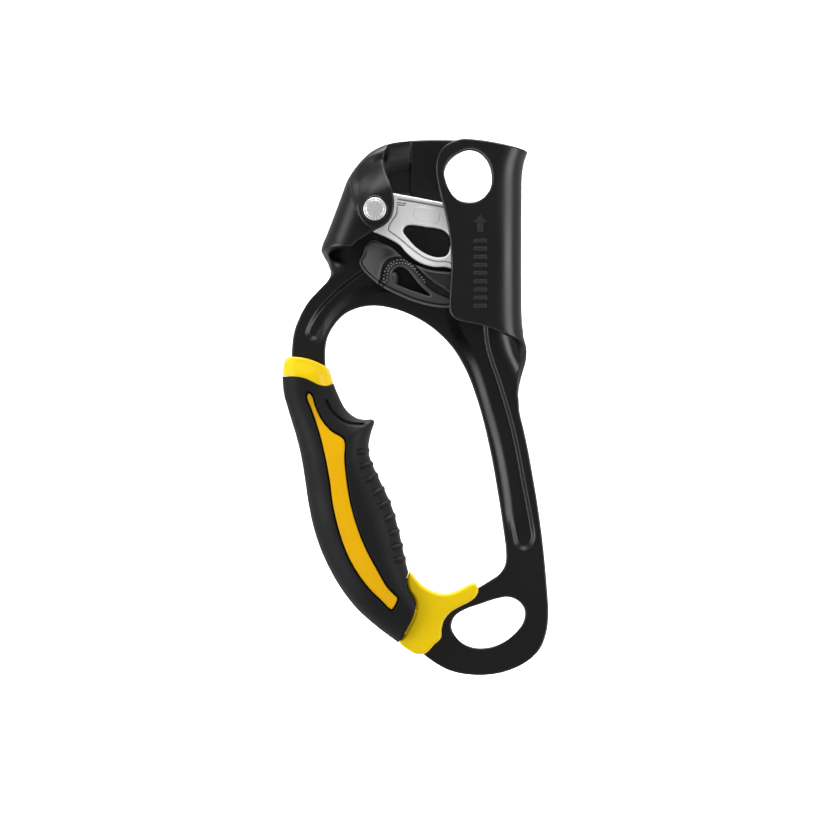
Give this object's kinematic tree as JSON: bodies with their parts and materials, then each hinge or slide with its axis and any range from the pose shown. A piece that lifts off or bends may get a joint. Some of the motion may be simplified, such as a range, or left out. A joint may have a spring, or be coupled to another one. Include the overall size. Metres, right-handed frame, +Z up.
{
  "type": "ascender",
  "caption": "Handled rope clamp: folded metal frame with rope channel, toothed cam, thumb trigger and moulded grip.",
  "frame": {"origin": "on the rope axis, the centre of the channel's bend, level with the cam axle", "axes": "+Z up along the rope, +X to the closed side of the channel, +Y to the rear; the cam side faces -Y"},
  "size_m": [0.097, 0.0382, 0.1951],
  "materials": {
    "frame_plate": "black anodised, satin",
    "axle_steel": "turned",
    "spring_steel": "drawn wire and stamped sheet",
    "cam": "cast, bright satin plating",
    "trigger": "fine moulded grain",
    "grip_core": "moulded, bright yellow",
    "grip_rubber": "soft-touch overmould",
    "grip_inlay": "moulded, golden yellow"
  },
  "bodies": {
    "frame": {"frame_plate": "frame_plate", "cam_axle": "axle_steel", "axle_sleeve": "axle_steel", "axle_head_washer": "axle_steel", "cam_washer_front": "spring_steel", "cam_washer_rear": "spring_steel", "grip_core": "grip_core", "grip_rubber": "grip_rubber", "grip_inlay_front": "grip_inlay", "grip_inlay_rear": "grip_inlay"},
    "cam": {"cam": "cam", "trigger_pin": "axle_steel", "cam_spring": "spring_steel", "trigger_spring": "spring_steel"},
    "trigger": {"trigger": "trigger"}
  },
  "joints": [
    {"name": "cam_pivot", "type": "hinge", "parent": "frame", "child": "cam", "pos_m": [-0.04285, 0, 0], "axis": [0, 1, 0], "range_deg": [0, 27], "stiffness_Nm_per_rad": 0.1, "springref_deg": -45.84, "deforming": ["cam_spring"]},
    {"name": "trigger_pivot", "type": "hinge", "parent": "cam", "child": "trigger", "pos_m": [-0.0109, 0, -0.0267], "axis": [0, 1, 0], "range_deg": [-18, 0], "stiffness_Nm_per_rad": 0.03, "springref_deg": 28.65, "deforming": ["trigger_spring"]}
  ]
}
